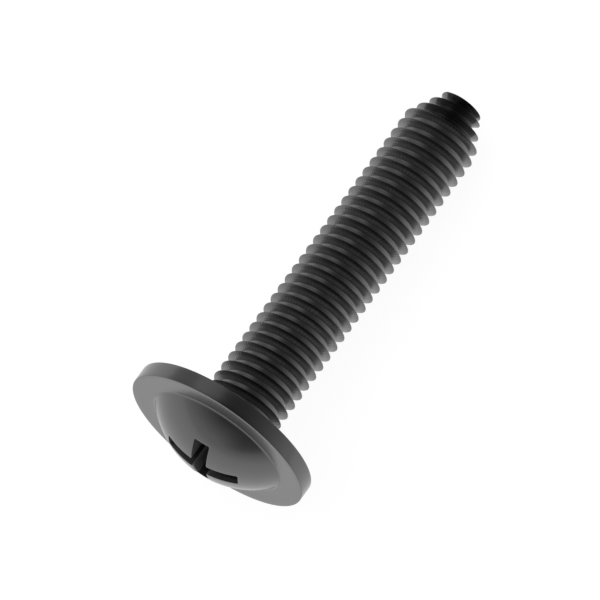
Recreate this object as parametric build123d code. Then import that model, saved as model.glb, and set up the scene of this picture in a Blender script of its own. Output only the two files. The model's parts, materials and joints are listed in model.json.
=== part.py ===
from build123d import *
import os
from math import asin, atan2, ceil, cos, degrees, floor, pi, radians, sin, sqrt

# Thread-forming machine screw with a collared, domed head and a cross recess, lying at rest.
# Millimetres and degrees. The screw is first built on its own axis: the bearing face is z = 0,
# the tip points to +Z and the head is below zero. It is then laid on the ground plane, z = 0,
# with the tip towards +X and the middle of its footprint at the origin.

# Thread: one start, right hand, with a sharp crest between a sloping flank and a steep one
thread_diameter = 6.03
thread_pitch = 0.90
thread_depth = 0.60
head_flank_run = 0.35         # along the axis, of the flank that faces the head
tip_flank_run = 0.21          # along the axis, of the flank that faces the tip
thread_shift = 0.068          # of the whole thread off the head's axis
shift_direction = 90.0
crest_height_at_start = 0.32  # of a crest above the bearing face, at the side where angles start
screw_length = 29.86          # under the head
lead_length = 2.67            # the tapered turns that find the hole
lead_end_radius = 1.60

# Neck under the head: a cone of 45 degrees, on which the thread's grooves run out
neck_overhang = 0.27          # of its foot past the highest crest

# Head
collar_diameter = 14.50
collar_height = 1.24
dome_radius = 7.16
dome_height = 2.40
dome_foot_fillet = 0.30

# Cross recess
recess_span = 5.85
recess_arm_width = 1.22
recess_arm_depth = 1.95       # below the crown, at the ends of the arms
recess_core_depth = 2.70      # below the crown, in the middle
recess_core_radius = 0.45     # of the flat bottom
recess_direction = 74.6

# How the screw lies: turned this far about its own axis, on small flats that keep it from rolling
roll_angle = 7.1
resting_flat_depth = 0.10     # of the flats on the collar's edge and on the crest that touch the ground

# Worked out
crest_radius = thread_diameter / 2
root_radius = crest_radius - thread_depth
collar_radius = collar_diameter / 2
crown_z = -(collar_height + dome_height)
neck_foot_radius = crest_radius + thread_shift + neck_overhang
neck_top_radius = root_radius - 2 * thread_shift
neck_height = neck_foot_radius - neck_top_radius
thread_axis = Vector(thread_shift, 0, 0).rotate(Axis.Z, shift_direction)
lead_start_z = screw_length - lead_length
lead_slope = (crest_radius - lead_end_radius) / lead_length
points_per_turn = 12
nudge = 1e-4                  # of a turn, to each side of a point whose direction is wanted
overrun = thread_pitch        # of the thread past both ends, before it is trimmed
crest_search = 30             # degrees to each side of the ground in which a crest may touch


def helix_point(offset, radius, angle):
    """A point of the helix that one corner of the thread's profile follows, at an angle counted on."""
    z = crest_height_at_start + offset + thread_pitch * angle / (2 * pi)
    taper = lead_slope * max(0.0, z - lead_start_z)
    r = radius - taper
    return Vector(r * cos(angle), r * sin(angle), z)


def helix_turn(offset, radius, turn):
    """One turn of that helix as a smooth curve, which runs on into the next turn without a kink."""
    shares = [i / points_per_turn for i in range(points_per_turn + 1)]
    points = [helix_point(offset, radius, 2 * pi * (turn + share)) for share in shares]
    tangents = []
    for end in (turn, turn + 1):
        ahead = helix_point(offset, radius, 2 * pi * (end + nudge))
        behind = helix_point(offset, radius, 2 * pi * (end - nudge))
        tangents.append((ahead - behind) / (2 * nudge))
    return Edge.make_spline(points, tangents=tangents, parameters=shares, scale=False)


def threaded_rod():
    """A rod whose skin is the thread: a flank, the other flank and the root, turn after turn.
    A ramp round the axis and a flat step close each end, past the screw's own ends."""
    corners = [
        (-head_flank_run, root_radius),
        (0, crest_radius),
        (tip_flank_run, root_radius),
        (thread_pitch - head_flank_run, root_radius),
    ]
    first_turn = -ceil((crest_height_at_start + overrun) / thread_pitch)
    last_turn = ceil((screw_length + overrun - crest_height_at_start) / thread_pitch)
    bottom_edge = helix_turn(*corners[0], first_turn)
    faces = []
    lower_edge = bottom_edge
    for turn in range(first_turn, last_turn):
        for offset, radius in corners[1:]:
            upper_edge = helix_turn(offset, radius, turn)
            faces.append(Face.make_surface_from_curves(lower_edge, upper_edge))
            lower_edge = upper_edge
    for end_edge, turn in ((bottom_edge, first_turn), (lower_edge, last_turn)):
        foot = Vector(0, 0, (end_edge @ 0).Z)
        top = Vector(0, 0, (end_edge @ 1).Z)
        faces.append(Face.make_surface_from_curves(Edge.make_line(foot, top), end_edge))
        step_profile = [helix_point(offset, radius, 2 * pi * turn) for offset, radius in corners]
        outline = [foot] + step_profile + [top]
        faces.append(Face(Wire.make_polygon(outline, close=True)))
    return Solid(Shell(faces))


def head_and_neck():
    """The head and the neck under it, turned about the axis: x is the radius and y the height."""
    dome_centre_z = crown_z + dome_radius
    dome_foot_radius = sqrt(dome_radius**2 - (dome_centre_z + collar_height) ** 2)
    half_foot = asin(dome_foot_radius / dome_radius) / 2
    crown = (0, crown_z)
    dome_middle = (dome_radius * sin(half_foot), dome_centre_z - dome_radius * cos(half_foot))
    dome_foot = (dome_foot_radius, -collar_height)
    sides = Wire.make_polygon(
        [
            dome_foot,
            (collar_radius, -collar_height),
            (collar_radius, 0),
            (neck_foot_radius, 0),
            (neck_top_radius, neck_height),
            (0, neck_height),
            crown,
        ],
        close=False,
    )
    dome = Edge.make_three_point_arc(crown, dome_middle, dome_foot)
    section = Face(Wire([dome] + list(sides.edges())))
    foot_corner = section.vertices().sort_by_distance(Vector(*dome_foot))[0]
    section = section.fillet_2d(dome_foot_fillet, [foot_corner])
    return revolve(Plane.XZ * section, Axis.Z)


def recess():
    """What the driver's cross takes out of the head: four square arms over a shallow cone."""
    top_z = crown_z - dome_height
    core_bottom_z = crown_z + recess_core_depth
    arm_bottom_z = crown_z + recess_arm_depth
    cone_slope = (core_bottom_z - arm_bottom_z) / (recess_span / 2 - recess_core_radius)
    rim_radius = recess_span
    rim_z = core_bottom_z - cone_slope * (rim_radius - recess_core_radius)
    floor_profile = Wire.make_polygon(
        [
            (0, top_z),
            (rim_radius, top_z),
            (rim_radius, rim_z),
            (recess_core_radius, core_bottom_z),
            (0, core_bottom_z),
        ]
    )
    over_floor = revolve(Plane.XZ * Face(floor_profile), Axis.Z)
    height = core_bottom_z - top_z
    upright = (Align.CENTER, Align.CENTER, Align.MIN)
    arms = Pos(0, 0, top_z) * Box(recess_span, recess_arm_width, height, align=upright)
    cross = arms + Rot(0, 0, 90) * arms
    return Rot(0, 0, recess_direction) * (cross & over_floor)


def screw():
    """The whole screw on its own axis, as one solid."""
    foot_in_head_z = -collar_height / 2
    envelope = Cylinder(
        collar_radius,
        screw_length - foot_in_head_z,
        align=(Align.CENTER, Align.CENTER, Align.MIN),
    )
    thread = Pos(thread_axis) * threaded_rod() & Pos(0, 0, foot_in_head_z) * envelope
    return head_and_neck() + thread - recess()


def resting_dip():
    """How far the axis dips towards the tip when the collar's back edge and a thread crest touch the ground.
    The crest that meets the ground first as the tip sinks holds the screw, so the dip is the least
    that any point of a crest allows. Flats of one depth at both places leave the dip as it is."""
    ground_side = 180 - roll_angle
    to_ground = Vector(1, 0, 0).rotate(Axis.Z, ground_side)
    turns = floor((screw_length - crest_height_at_start) / thread_pitch)
    dips = []
    for turn in range(turns):
        for aside in range(-crest_search, crest_search + 1):
            angle = radians(ground_side + aside)
            crest = thread_axis + helix_point(0, crest_radius, angle + 2 * pi * turn)
            fall = collar_radius - crest.dot(to_ground)
            if 0 < crest.Z < screw_length:
                dips.append(atan2(fall, crest.Z))
    return min(dips)


def lay_down(body):
    """The screw as it lies: the tip towards +X, the ground at z = 0, the footprint round the origin."""
    dip = resting_dip()
    lying = Plane(origin=(0, 0, 0), x_dir=(sin(dip), 0, cos(dip)), z_dir=(cos(dip), 0, -sin(dip)))
    turned = lying.location * Rot(0, 0, roll_angle) * body
    footprint = turned.bounding_box()
    middle_x = (footprint.min.X + footprint.max.X) / 2
    bearing_centre = (-middle_x, 0, collar_radius * cos(dip) - resting_flat_depth)
    print("dip of the axis in degrees:", round(degrees(dip), 4))
    print("centre of the bearing face:", [round(v, 4) for v in bearing_centre])
    print("axis towards the tip:", [round(v, 6) for v in (cos(dip), 0, -sin(dip))])
    print("lowest point before the flats:", round(footprint.min.Z + bearing_centre[2], 4))
    below_ground = Box(
        3 * screw_length,
        3 * collar_diameter,
        collar_radius,
        align=(Align.CENTER, Align.CENTER, Align.MAX),
    )
    return Pos(*bearing_centre) * turned - below_ground


os.makedirs("parts", exist_ok=True)
part = lay_down(screw())
part.label = "screw"
export_step(part, "parts/screw.step")
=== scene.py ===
"""A black thread-forming screw with a collared, domed head, lying on a pale studio floor."""
import json
import math

import bmesh
import bpy
import numpy as np
from mathutils import Matrix, Vector


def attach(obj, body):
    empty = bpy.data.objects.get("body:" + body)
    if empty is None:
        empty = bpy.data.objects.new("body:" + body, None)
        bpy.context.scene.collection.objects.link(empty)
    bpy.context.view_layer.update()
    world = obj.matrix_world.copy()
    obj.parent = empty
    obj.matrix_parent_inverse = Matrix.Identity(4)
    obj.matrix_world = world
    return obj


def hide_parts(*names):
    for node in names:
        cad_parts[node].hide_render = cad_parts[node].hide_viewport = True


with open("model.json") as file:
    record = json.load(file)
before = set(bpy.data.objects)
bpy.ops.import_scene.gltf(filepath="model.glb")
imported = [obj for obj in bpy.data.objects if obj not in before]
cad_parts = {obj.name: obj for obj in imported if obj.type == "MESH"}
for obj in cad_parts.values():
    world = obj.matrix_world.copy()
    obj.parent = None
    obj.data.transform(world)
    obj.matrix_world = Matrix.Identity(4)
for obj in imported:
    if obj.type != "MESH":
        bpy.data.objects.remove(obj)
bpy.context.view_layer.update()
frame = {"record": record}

MM = 0.001

# The thread, in millimetres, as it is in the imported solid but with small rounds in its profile
crest_radius = 6.03 / 2
thread_pitch = 0.90
thread_depth = 0.60
thread_shift = 0.068
crest_height_at_start = 0.32
screw_length = 29.86
lead_length = 2.67
lead_end_radius = 1.60
tip_edge_round = 0.05
tip_flank_height = 0.32
tip_flank_foot = 1.04
lead_start = screw_length - lead_length
lead_slope = (crest_radius - lead_end_radius) / lead_length
columns_per_turn = 96
weld_distance = 1e-5
join_weld_distance = 1e-4
# one pitch of the profile, from root to root: along the axis from the crest, and down from it
profile = [
    (-0.385, thread_depth),
    (-0.352, 0.592),
    (-0.330, 0.562),
    (-0.195, 0.332),
    (-0.060, 0.102),
    (-0.034, 0.048),
    (-0.014, 0.012),
    (0.002, 0.0),
    (0.014, 0.016),
    (0.028, 0.055),
    (0.187, 0.560),
    (0.205, 0.590),
    (0.235, thread_depth),
    (0.375, thread_depth),
    (0.515, thread_depth),
]

# The head and the neck
collar_radius = 7.25
collar_height = 1.24
collar_edge_round = 0.06
dome_radius = 7.16
dome_height = 2.40
dome_foot_fillet = 0.30
neck_overhang = 0.27
neck_foot_radius = crest_radius + thread_shift + neck_overhang
neck_fillet = 1.02
crown_z = -(collar_height + dome_height)
dome_centre_z = crown_z + dome_radius
head_columns = 240

# The cross recess
recess_half_span = 5.85 / 2
recess_half_width = 1.22 / 2
recess_arm_depth = 1.95
recess_core_depth = 2.70
recess_core_radius = 0.45
recess_direction = math.radians(74.6)
recess_mouth_round = 0.07
recess_corner_round = 0.10
recess_point_gap = 0.12
recess_floor_rings = 6
recess_cutter_overrun = 1.0

# How it lies
roll_angle = math.radians(7.1)
sharp_edge_angle = math.radians(34)

# The photograph: a parallel view, this large, with the middle of the collar's front face here
image_width = 600
pixels_per_mm = 14.08
collar_middle_px = (217.03, 441.01)
axis_slope_px = math.radians(53.95)
view_off_axis = math.radians(71.33)


# Shapes


def lying_axes():
    """The screw's own axes in the frame, and the middle of its bearing face, from the record."""
    mounts = {mount["name"]: mount for mount in frame["record"]["mounts"]}
    bearing = mounts["bearing_face"]
    along = Vector(bearing["axis"]).normalized()
    across = Vector((0, -1, 0))
    upward = across.cross(along)
    turn = Matrix.Rotation(roll_angle, 3, "Z")
    axes = Matrix((upward, across, along)).transposed() @ turn
    return axes, Vector(bearing["pos_m"])


screw_axes, bearing_middle = lying_axes()
own_x, own_y, own_z = (screw_axes.col[i].copy() for i in range(3))
along_level_arm = own_x * math.cos(recess_direction) + own_y * math.sin(recess_direction)


def helix(offset, drop, angle):
    """Points on the thread: offset along the axis from a crest, and drop below it."""
    z = crest_height_at_start + offset + thread_pitch * angle / (2 * np.pi)
    taper = lead_slope * np.maximum(0.0, z - lead_start)
    r = crest_radius - drop - taper
    return np.stack([r * np.cos(angle), r * np.sin(angle), z], axis=-1)


def mesh_from(points, faces):
    """A bmesh from points and from faces that name them by number."""
    made = bmesh.new()
    verts = [made.verts.new(p) for p in points]
    for face in faces:
        made.faces.new([verts[i] for i in face])
    return made


def threaded_rod():
    """A closed rod with the thread on it, from inside the head to the flat tip."""
    first_turn = -2
    last_turn = math.ceil((screw_length - crest_height_at_start) / thread_pitch) + 1
    rows = len(profile)
    columns = (last_turn - first_turn) * columns_per_turn
    angles = 2 * np.pi * (first_turn + np.arange(columns + 1) / columns_per_turn)
    grid = np.stack([helix(x, drop, angles) for x, drop in profile], axis=1)
    points = [tuple(p) for p in grid.reshape(-1, 3)]
    faces = []
    for i in range(columns):
        for k in range(rows - 1):
            corner = i * rows + k
            faces.append((corner, corner + rows, corner + rows + 1, corner + 1))
    for start, row in ((0, 0), (columns - columns_per_turn, rows - 1)):
        axis_start = len(points)
        points += [(0, 0, grid[start + i, row, 2]) for i in range(columns_per_turn + 1)]
        for i in range(columns_per_turn):
            edge = (start + i) * rows + row
            faces.append((edge, edge + rows, axis_start + i + 1, axis_start + i))
        end_column = 0 if row == 0 else columns
        steps = [end_column * rows + k for k in range(rows)]
        axis_line = list(range(axis_start + columns_per_turn, axis_start - 1, -1))
        faces.append(tuple(steps + axis_line))
    rod = mesh_from(points, faces)
    bmesh.ops.remove_doubles(rod, verts=rod.verts, dist=weld_distance)
    bmesh.ops.recalc_face_normals(rod, faces=rod.faces)
    everything = list(rod.verts) + list(rod.edges) + list(rod.faces)
    bmesh.ops.bisect_plane(
        rod, geom=everything, plane_co=(0, 0, screw_length), plane_no=(0, 0, 1), clear_outer=True
    )
    rim = [edge for edge in rod.edges if edge.is_boundary]
    bmesh.ops.holes_fill(rod, edges=rim)
    bmesh.ops.translate(rod, verts=rod.verts, vec=(0, thread_shift, 0))
    return rod


def tip_outline():
    """Half a section of the last ridge, which ends in the flat tip."""
    edge = tip_edge_round
    return [
        (0.0, screw_length - 2 * tip_flank_height),
        (tip_flank_foot, screw_length - tip_flank_height),
        (lead_end_radius - edge, screw_length - 1.5 * edge),
        (lead_end_radius, screw_length - edge),
        (lead_end_radius - 0.3 * edge, screw_length - 0.3 * edge),  # on the edge's round
        (lead_end_radius - edge, screw_length),
        (lead_end_radius / 2, screw_length),
        (0.0, screw_length),
    ]


def arc(centre, radius, start, end, steps):
    """Points (r, z) of an arc in half a section, with angles in degrees from outward."""
    turns = [math.radians(start + (end - start) * i / steps) for i in range(steps + 1)]
    return [(centre[0] + radius * math.cos(t), centre[1] + radius * math.sin(t)) for t in turns]


def head_outline():
    """Half a section of head and neck, from the crown round the collar to the shank's axis."""
    fillet_z = -collar_height - dome_foot_fillet
    fillet_r = math.sqrt((dome_radius + dome_foot_fillet) ** 2 - (dome_centre_z - fillet_z) ** 2)
    foot_angle = math.degrees(math.atan2(fillet_z - dome_centre_z, fillet_r))
    edge = collar_edge_round
    outline = arc((0, dome_centre_z), dome_radius, -90, foot_angle, 44)
    outline += arc((fillet_r, fillet_z), dome_foot_fillet, foot_angle + 180, 90, 10)
    # the points within flat stretches keep the faces there from getting long
    outline += [(r, -collar_height) for r in (6.2, 6.8)]
    outline += arc((collar_radius - edge, -collar_height + edge), edge, -90, 0, 6)
    outline += [(collar_radius, -0.8), (collar_radius, -0.4)]
    outline += arc((collar_radius - edge, -edge), edge, 0, 90, 6)
    outline += [(r, 0.0) for r in (6.2, 5.0, 4.0)]
    outline += arc((neck_foot_radius, neck_fillet), neck_fillet, 270, 180, 14)
    outline += [(1.2, neck_fillet), (0.0, neck_fillet)]
    outline[0] = (0.0, crown_z)
    return outline


def lathe(outline, columns):
    """A closed solid turned about the axis from an outline whose two ends are on the axis."""
    points = [(0, 0, outline[0][1])]
    faces = []
    rings = outline[1:-1]
    for r, z in rings:
        for i in range(columns):
            angle = 2 * math.pi * i / columns
            points.append((r * math.cos(angle), r * math.sin(angle), z))
    last = len(points)
    points.append((0, 0, outline[-1][1]))
    last_ring = 1 + (len(rings) - 1) * columns
    for i in range(columns):
        j = (i + 1) % columns
        faces.append((0, 1 + i, 1 + j))
        for ring in range(len(rings) - 1):
            a = 1 + ring * columns
            b = a + columns
            faces.append((a + i, b + i, b + j, a + j))
        faces.append((last_ring + i, last, last_ring + j))
    turned = mesh_from(points, faces)
    bmesh.ops.recalc_face_normals(turned, faces=turned.faces)
    return turned


def cross_outline():
    """Points of the cross and its outward directions, with rounded corners, anticlockwise."""
    a, b = recess_half_width, recess_half_span
    round_off = recess_corner_round
    # one arm, from the inner corner on its right side round its end to the inner corner on its left
    corners = [((a, -a), "inner"), ((b, -a), "outer"), ((b, a), "outer")]
    outline = []
    for quarter in range(4):
        turn = Matrix.Rotation(quarter * math.pi / 2, 2)
        for number, (corner, kind) in enumerate(corners):
            if kind == "inner":
                centre = (corner[0] + round_off, corner[1] - round_off)
                start, end = 180, 90
            else:
                sign = -1 if number == 1 else 1
                centre = (corner[0] - round_off, corner[1] - sign * round_off)
                start, end = (-90, 0) if number == 1 else (0, 90)
            for step in range(5):
                t = math.radians(start + (end - start) * step / 4)
                out = Vector((math.cos(t), math.sin(t)))
                point = Vector(centre) + round_off * out
                outline.append((turn @ point, turn @ (-out if kind == "inner" else out)))
    filled = []
    for i, (point, out) in enumerate(outline):
        following, next_out = outline[(i + 1) % len(outline)]
        pieces = max(1, round((following - point).length / recess_point_gap))
        for piece in range(pieces):
            share = piece / pieces
            blend = (out.lerp(next_out, share)).normalized()
            filled.append((point.lerp(following, share), blend))
    turn = Matrix.Rotation(recess_direction, 2)
    return [(turn @ point, turn @ out) for point, out in filled]


def recess_cutter():
    """What the driver's cross takes out: upright walls, a rounded mouth and a conical floor."""
    outline = cross_outline()
    count = len(outline)
    reach = recess_half_span - recess_core_radius
    floor_slope = (recess_core_depth - recess_arm_depth) / reach
    core_floor_z = crown_z + recess_core_depth
    r = recess_mouth_round
    # a quarter round in the mouth: below the dome's surface, and out from the wall
    mouth = [(r, 0.0), (0.29 * r, 0.29 * r), (0.0, r), (-0.29 * r, 1.71 * r)]

    def surface_z(p):
        return dome_centre_z - math.sqrt(dome_radius**2 - p.length_squared)

    def floor_z(p):
        return core_floor_z - floor_slope * max(0.0, p.length - recess_core_radius)

    rings = []
    for k in range(1, recess_floor_rings + 1):
        inner = [point * (k / recess_floor_rings) for point, out in outline]
        rings.append([(p.x, p.y, floor_z(p)) for p in inner])
    for depth, aside in mouth:
        moved = [point + out * aside for point, out in outline]
        rings.append([(p.x, p.y, surface_z(p) + depth) for p in moved])
    top_z = crown_z - recess_cutter_overrun
    rings.append([(x, y, top_z) for x, y, z in rings[-1]])
    points = [(0, 0, core_floor_z)] + [p for ring in rings for p in ring]
    top = len(points)
    points.append((0, 0, top_z))
    faces = []
    last_ring = 1 + (len(rings) - 1) * count
    for i in range(count):
        j = (i + 1) % count
        faces.append((0, 1 + j, 1 + i))
        for ring in range(len(rings) - 1):
            a = 1 + ring * count
            b = a + count
            faces.append((a + i, a + j, b + j, b + i))
        faces.append((last_ring + i, last_ring + j, top))
    cutter = mesh_from(points, faces)
    bmesh.ops.recalc_face_normals(cutter, faces=cutter.faces)
    return cutter


def shown(name, made):
    """Puts a bmesh into the scene as an object."""
    mesh = bpy.data.meshes.new(name)
    made.to_mesh(mesh)
    made.free()
    piece = bpy.data.objects.new(name, mesh)
    bpy.context.scene.collection.objects.link(piece)
    return piece


def combine(piece, other, operation):
    """Joins other to piece, or cuts it out, and takes other away."""
    step = piece.modifiers.new(operation.lower(), "BOOLEAN")
    step.operation = operation
    step.solver = "EXACT"
    step.object = other
    evaluated = piece.evaluated_get(bpy.context.evaluated_depsgraph_get())
    result = bpy.data.meshes.new_from_object(evaluated)
    piece.modifiers.clear()
    piece.data = result
    bpy.data.objects.remove(other)


def weld(mesh):
    """Takes away the slivers that joining leaves, by welding the points that all but coincide."""
    welded = bmesh.new()
    welded.from_mesh(mesh)
    bmesh.ops.remove_doubles(welded, verts=welded.verts, dist=join_weld_distance)
    bmesh.ops.dissolve_degenerate(welded, edges=welded.edges, dist=join_weld_distance)
    welded.to_mesh(mesh)
    welded.free()


def whole_screw():
    """Head, neck, rod and last ridge as one skin, with the cross cut out, laid on the ground."""
    screw = shown("screw_in_detail", lathe(head_outline(), head_columns))
    combine(screw, shown("rod", threaded_rod()), "UNION")
    tip = lathe(tip_outline(), columns_per_turn)
    bmesh.ops.translate(tip, verts=tip.verts, vec=(0, thread_shift, 0))
    combine(screw, shown("tip", tip), "UNION")
    combine(screw, shown("cross", recess_cutter()), "DIFFERENCE")
    mesh = screw.data
    weld(mesh)
    place = Matrix.Translation(bearing_middle) @ screw_axes.to_4x4() @ Matrix.Scale(MM, 4)
    mesh.transform(place)
    for vert in mesh.vertices:
        vert.co.z = max(0.0, vert.co.z)
    for polygon in mesh.polygons:
        polygon.use_smooth = True
    mesh.set_sharp_from_angle(angle=sharp_edge_angle)
    return screw


screw = whole_screw()


# Shader arithmetic


class Wire:
    """A shader socket that takes part in sums: each operator adds its Math node.
    Without a socket it only names the tree that new nodes go to."""

    def __init__(self, tree, socket=None):
        self.tree = tree
        self.socket = socket

    def node(self, kind, settings=None, inputs=None, output=0):
        """Adds a node: its type, its settings, and the values or wires of its inputs."""
        made = self.tree.nodes.new("ShaderNode" + kind)
        for name, value in (settings or {}).items():
            setattr(made, name, value)
        for name, value in (inputs or {}).items():
            if isinstance(value, Wire):
                self.tree.links.new(value.socket, made.inputs[name])
            else:
                made.inputs[name].default_value = value
        return Wire(self.tree, made.outputs[output]) if made.outputs else None

    def math(self, operation, *values):
        return self.node("Math", {"operation": operation}, dict(enumerate(values)))

    def __add__(self, other):
        return self.math("ADD", self, other)

    def __sub__(self, other):
        return self.math("SUBTRACT", self, other)

    def __rsub__(self, other):
        return self.math("SUBTRACT", other, self)

    def __mul__(self, other):
        return self.math("MULTIPLY", self, other)

    __radd__ = __add__

    def smooth(self, low, high, to_low=0.0, to_high=1.0):
        """From to_low to to_high, smoothly, as this goes from low to high."""
        return self.node(
            "MapRange",
            {"interpolation_type": "SMOOTHSTEP"},
            {"Value": self, "From Min": low, "From Max": high, "To Min": to_low, "To Max": to_high},
        )

    def vector(self, operation, other, output=0):
        return self.node("VectorMath", {"operation": operation}, {0: self, 1: tuple(other)}, output)

    def dot(self, direction):
        return self.vector("DOT_PRODUCT", direction, "Value")

    def noise(self, scale, detail):
        return self.node("TexNoise", None, {"Vector": self, "Scale": scale, "Detail": detail})


# The finish, with lengths in millimetres and shares of a pitch counted from one crest to the next
finish_dark = (0.0040, 0.0040, 0.0042, 1.0)
# the lighter end of the finish, for the painted light and for the streaks
finish_dull_and_painted_light = (0.086, 0.086, 0.087, 1.0)
mirror_index = 2.0
thread_finish_starts = (0.3, 0.8)          # above the bearing face
lead_finish_starts = (0.1, 0.5)            # past the start of the lead
head_side_flank_starts = (0.59, 0.64)      # share of a pitch
dark_crest_starts = (0.76, 0.93)         # share of a pitch
dome_skin = (0.10, 0.04)                   # below the dome's surface, where the recess starts
above_collar = (0.08, 0.02)                # on the dome's side of the collar's face

# how much lighter each part is than the dark finish: painted light in the groove, most on the flank
# that faces the head, and on the recess walls; the lines and marks add lighter streaks
painted_light_in_groove = 0.02
dull_lines = 0.34
painted_light_on_flank = 0.34
dull_marks = 0.40
# painted light on the recess walls, lighter on the walls that face along the level arms
painted_light_on_recess_walls = (0.08, 0.85)                 # walls along the level arms, and along the other two
worn_patches = (0.6, 1.0)

# rolling marks run up the flank that faces the head, and drawn lines follow the thread round
marks_per_turn = 60
marks_wander = 5.0                         # radians
marks_weakest = 0.30
lines_across_pitch = 11.0
lines_along_per_metre = 150.0
broad_noise_per_metre = 420.0
wander_noise_per_metre = 900.0
patch_noise_per_metre = 1300.0
grain_noise_per_metre = 9000.0

# relief, in metres, and roughness
marks_relief = 0.012 * MM
lines_relief = 0.006 * MM
grain_relief = 0.0006 * MM
relief_strength = 0.8
plain_roughness = 0.19
grain_roughness = 0.05
thread_roughness = 0.10


def new_material(name):
    """An empty material, and a wire that adds nodes to it."""
    made = bpy.data.materials.new(name)
    made.use_nodes = True
    made.node_tree.nodes.clear()
    return made, Wire(made.node_tree)


def satin_black():
    """Black finish on steel: darkest on the crests, with painted light in the groove and on the
    recess walls, and streaked in the thread.
    """
    made, start = new_material("satin_black")
    place = start.node("TexCoord", None, None, "Object")
    from_bearing = place.vector("SUBTRACT", bearing_middle)
    x = from_bearing.dot(own_x)
    y = from_bearing.dot(own_y) - thread_shift * MM
    z = from_bearing.dot(own_z)

    # along the thread, and across it as a share of a pitch that is nought at a crest
    angle = y.math("ARCTAN2", y, x)
    turns = angle * (1 / (2 * math.pi))
    from_crest = z * (1 / (thread_pitch * MM)) - turns - crest_height_at_start / thread_pitch
    share = from_crest.math("FRACT", from_crest)
    thread_low, thread_high = (height * MM for height in thread_finish_starts)
    lead_low, lead_high = ((lead_start + height) * MM for height in lead_finish_starts)
    on_full_thread = z.smooth(lead_low, lead_high, 1.0, 0.0) * z.smooth(thread_low, thread_high)
    on_flank = share.smooth(*head_side_flank_starts) * on_full_thread
    # the crests keep the dark finish, and the painted light in the groove stops there
    on_dark_crest = share.smooth(*dark_crest_starts)

    # the recess is what lies under the dome's skin and before the collar's face
    from_dome_centre = from_bearing.vector("DISTANCE", own_z * dome_centre_z * MM, "Value")
    skin_inside, skin_outside = ((dome_radius - depth) * MM for depth in dome_skin)
    under_dome = from_dome_centre.smooth(skin_inside, skin_outside, 1.0, 0.0)
    face_before, face_near = (-(collar_height + gap) * MM for gap in above_collar)
    in_recess = under_dome * z.smooth(face_before, face_near, 1.0, 0.0)
    normal = start.node("NewGeometry", None, None, "Normal")
    sideways = normal.dot(along_level_arm)
    # painted light: the recess walls that face along the level arms are painted lighter than those
    # that face across them
    painted_recess_light = sideways.math("ABSOLUTE", sideways).smooth(0.5, 0.9, *painted_light_on_recess_walls)

    worn = place.noise(broad_noise_per_metre, 2.0).smooth(0.3, 0.7, *worn_patches)
    grain = place.noise(grain_noise_per_metre, 3.0).smooth(0.3, 0.7)
    wander = place.noise(wander_noise_per_metre, 1.0)
    patches = place.noise(patch_noise_per_metre, 1.0).smooth(0.35, 0.65, marks_weakest, 1.0)
    stripe = angle * marks_per_turn + wander * marks_wander
    stripe = stripe.math("SINE", stripe) * 0.5 + 0.5
    marks = stripe * on_flank * patches
    round_and_across = start.node(
        "CombineXYZ",
        None,
        {0: share * lines_across_pitch, 1: x * lines_along_per_metre, 2: y * lines_along_per_metre},
    )
    lines = round_and_across.noise(1.0, 2.0).smooth(0.35, 0.65) * on_full_thread

    # painted light: the groove between the crests, most of all the flank that faces the head, is
    # painted lighter than the dark finish, with lighter streaks from the lines and marks on it
    groove = (1.0 - on_dark_crest) * on_full_thread
    streaks_and_painted_light = painted_light_in_groove + lines * dull_lines + on_flank * painted_light_on_flank + marks * dull_marks
    tone = groove * streaks_and_painted_light * worn + in_recess * painted_recess_light
    colour = start.node(
        "Mix",
        {"data_type": "RGBA"},
        {"Factor": tone, "A": finish_dark, "B": finish_dull_and_painted_light},
        "Result",
    )
    roughness = plain_roughness + grain * grain_roughness + on_full_thread * thread_roughness
    relief = marks * marks_relief + lines * lines_relief + grain * grain_relief
    bump = start.node(
        "Bump", None, {"Height": relief, "Distance": 1.0, "Strength": relief_strength}
    )
    surface = start.node(
        "BsdfPrincipled",
        None,
        {"Base Color": colour, "Roughness": roughness, "IOR": mirror_index, "Normal": bump},
    )
    start.node("OutputMaterial", None, {"Surface": surface})
    return made


screw.data.materials.clear()
screw.data.materials.append(satin_black())
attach(screw, "root")
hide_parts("screw")


# The floor, the light and the camera


def towards(azimuth, elevation):
    """The direction to a point in the studio, in degrees."""
    a, e = math.radians(azimuth), math.radians(elevation)
    return Vector((math.cos(a) * math.cos(e), math.sin(a) * math.cos(e), math.sin(e)))


# Directions in the studio, seen from the screw
window = towards(50, 44)
dark_corner = towards(-138, 0)
overhead = towards(110, 66)
low_side = towards(-130, 24)

# Brightness, where 1 is white, and lengths in metres
white = (1.0, 1.0, 1.0, 1.0)
floor_colour = (0.86, 0.86, 0.86, 1.0)
floor_half_width = 1.5
floor_brightness = 1.15
floor_evenness = 0.80                      # how much of its shadow the floor hides
dim_floor_starts = (0.035, 0.10)           # towards the dark corner
dim_floor = 0.65
horizon_light = 0.85
overhead_light = 0.02                      # of the light at the horizon
window_light = 0.33
lamp_distance = 0.6
camera_distance = 0.3


def seen_directly_or_mirrored(start):
    """One for rays from the camera, a mirror or through glass, and nought for the rest."""
    path = start.tree.nodes.new("ShaderNodeLightPath")
    seen = Wire(start.tree, path.outputs["Is Camera Ray"])
    for kind in ("Is Glossy Ray", "Is Transmission Ray"):
        seen = seen.math("MAXIMUM", seen, Wire(start.tree, path.outputs[kind]))
    return seen


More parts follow.
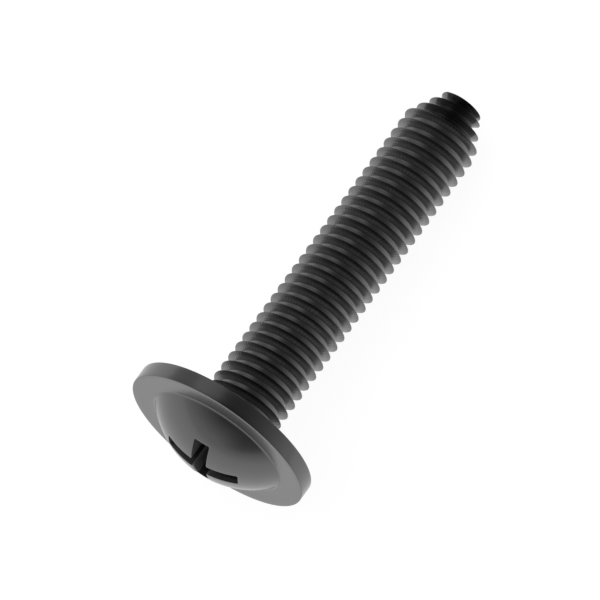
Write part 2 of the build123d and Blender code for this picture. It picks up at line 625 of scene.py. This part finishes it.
def pale_floor():
    """A matt floor that the camera and the polish see as white, apart from a faint shadow."""
    made, start = new_material("pale_floor")
    seen = seen_directly_or_mirrored(start)
    place = start.node("TexCoord", None, None, "Object")
    # the floor in front of the head mirrors darker in it, and the camera sees it white all over
    dim = place.dot(dark_corner).smooth(*dim_floor_starts, 1.0, dim_floor)
    dim = dim.math("MAXIMUM", dim, start.node("LightPath", None, None, "Is Camera Ray"))
    matt = start.node("BsdfDiffuse", None, {"Color": floor_colour})
    glow = start.node("Emission", None, {"Color": dim, "Strength": floor_brightness})
    surface = start.node("MixShader", None, {0: seen * floor_evenness, 1: matt, 2: glow})
    start.node("OutputMaterial", None, {"Surface": surface})
    half = floor_half_width
    corners = [(-half, -half, 0), (half, -half, 0), (half, half, 0), (-half, half, 0)]
    floor = shown("floor", mesh_from(corners, [(0, 1, 2, 3)]))
    floor.data.materials.append(made)


def studio_world():
    """White behind the screw, and a soft sky for light: pale near the horizon, darker overhead."""
    world = bpy.data.worlds.new("studio")
    world.use_nodes = True
    world.node_tree.nodes.clear()
    bpy.context.scene.world = world
    start = Wire(world.node_tree)
    direction = start.node("TexCoord", None, None, "Generated")
    x = direction.dot((1, 0, 0))
    y = direction.dot((0, 1, 0))
    z = direction.dot((0, 0, 1))
    # the pale band above the horizon reaches higher on the tip's side and on the far side
    reach = x.smooth(-0.9, 0.2, 0.62, 1.05) + y.smooth(0.0, 0.6, 0.0, 0.15)
    fade = 1.0 - z.math("DIVIDE", z, reach)
    sky = fade.math("MAXIMUM", fade, overhead_light) * horizon_light
    # darker past the tip, a little darker on the far side, and dark in the corner before the head
    sky = sky * x.smooth(0.45, 0.95, 1.0, 0.04)
    sky = sky * y.smooth(0.7, 1.0, 1.0, 0.65)
    sky = sky * direction.dot(dark_corner).smooth(0.7, 0.98, 1.0, 0.35)
    sky = sky + direction.dot(window).smooth(0.93, 0.985, 0.0, window_light)
    path = start.node("LightPath", None, None, "Is Camera Ray")
    soft = start.node("Background", None, {"Color": sky, "Strength": 1.0})
    plain = start.node("Background", None, {"Color": white, "Strength": 1.0})
    surface = start.node("MixShader", None, {0: path, 1: soft, 2: plain})
    start.node("OutputWorld", None, {"Surface": surface})


def softbox(name, direction, size, brightness):
    """A square soft lamp that faces the screw. It lights matt surfaces and isn't mirrored."""
    data = bpy.data.lights.new(name, "AREA")
    data.size = size
    data.energy = brightness * math.pi * size**2
    lamp = bpy.data.objects.new(name, data)
    bpy.context.scene.collection.objects.link(lamp)
    lamp.location = direction * lamp_distance
    lamp.rotation_mode = "QUATERNION"
    lamp.rotation_quaternion = direction.to_track_quat("Z", "Y")
    lamp.visible_camera = False
    lamp.visible_glossy = False


def camera_on_photograph():
    """The photograph's view: parallel, and the middle of the collar's front face on its pixel."""
    data = bpy.data.cameras.new("camera")
    data.type = "ORTHO"
    data.ortho_scale = image_width / pixels_per_mm * MM
    camera = bpy.data.objects.new("camera", data)
    bpy.context.scene.collection.objects.link(camera)
    bpy.context.scene.camera = camera
    into = own_z * math.cos(view_off_axis) - own_x * math.sin(view_off_axis)
    along_image = own_x * math.cos(view_off_axis) + own_z * math.sin(view_off_axis)
    c, s = math.cos(axis_slope_px), math.sin(axis_slope_px)
    right = own_y * s + along_image * c
    up = along_image * s - own_y * c
    metres_per_pixel = MM / pixels_per_mm
    collar_middle = bearing_middle - own_z * collar_height * MM
    middle = image_width / 2
    target = (
        collar_middle
        + right * (middle - collar_middle_px[0]) * metres_per_pixel
        + up * (collar_middle_px[1] - middle) * metres_per_pixel
    )
    facing = Matrix((right, up, -into)).transposed().to_4x4()
    camera.matrix_world = Matrix.Translation(target - into * camera_distance) @ facing
    data.clip_start = 0.01
    data.clip_end = 3.0


pale_floor()
studio_world()
softbox("overhead_lamp", overhead, 0.60, 1.4)
softbox("low_side_lamp", low_side, 0.40, 2.2)
camera_on_photograph()
bpy.context.scene.view_settings.view_transform = "Standard"
